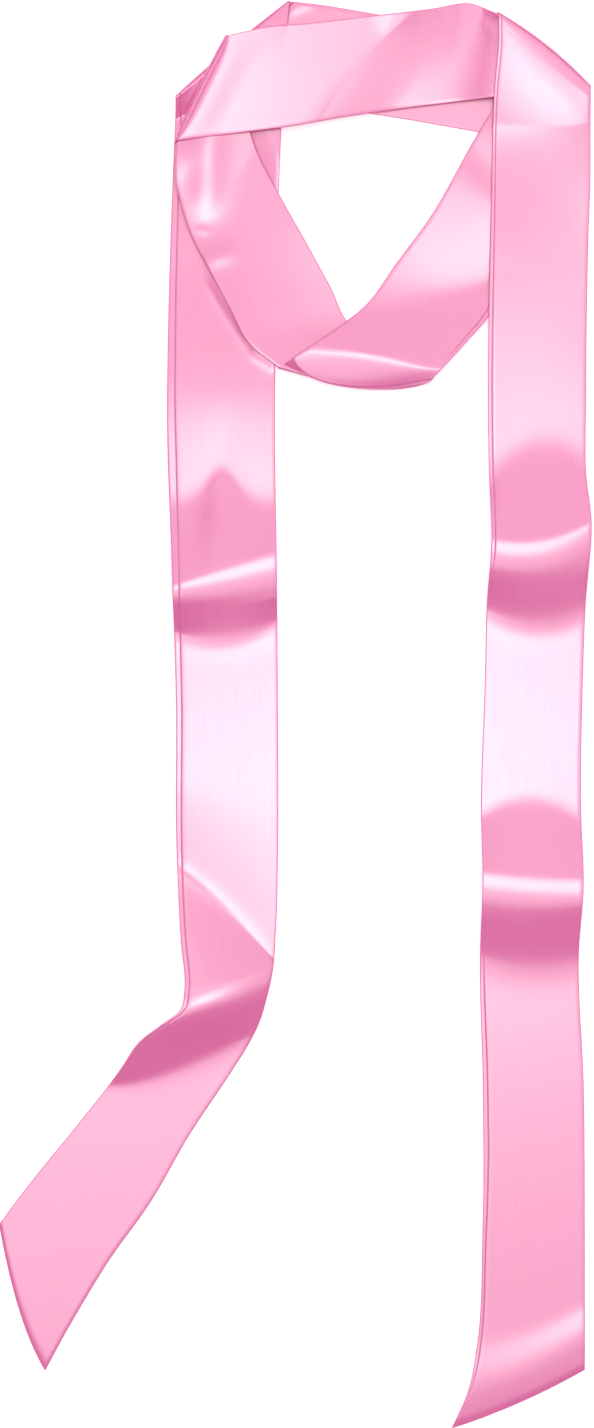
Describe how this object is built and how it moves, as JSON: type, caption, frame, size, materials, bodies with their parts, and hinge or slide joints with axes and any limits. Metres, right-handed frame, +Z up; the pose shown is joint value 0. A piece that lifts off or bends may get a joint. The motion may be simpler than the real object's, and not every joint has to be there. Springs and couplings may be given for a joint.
{
  "type": "skinny satin scarf",
  "caption": "Long narrow satin scarf laid flat, wound once into a neck loop, with two hanging tails cut on the slant.",
  "frame": {"origin": "middle of the laid scarf's outline, on the surface that it lies on", "axes": "+Y up the tails towards the neck loop, +X across the tails to the picture's right, +Z up from the surface"},
  "size_m": [0.3024, 0.7282, 0.0112],
  "materials": {
    "left_tail_satin": "pink satin",
    "rear_band_satin": "pink satin",
    "lower_right_band_satin": "pink satin",
    "left_front_band_satin": "pink satin",
    "front_top_band_satin": "pink satin",
    "right_tail_satin": "pink satin"
  },
  "bodies": {
    "root": {"left_tail": "left_tail_satin", "rear_band": "rear_band_satin", "lower_right_band": "lower_right_band_satin", "left_front_band": "left_front_band_satin", "front_top_band": "front_top_band_satin", "right_tail": "right_tail_satin"}
  },
  "joints": []
}
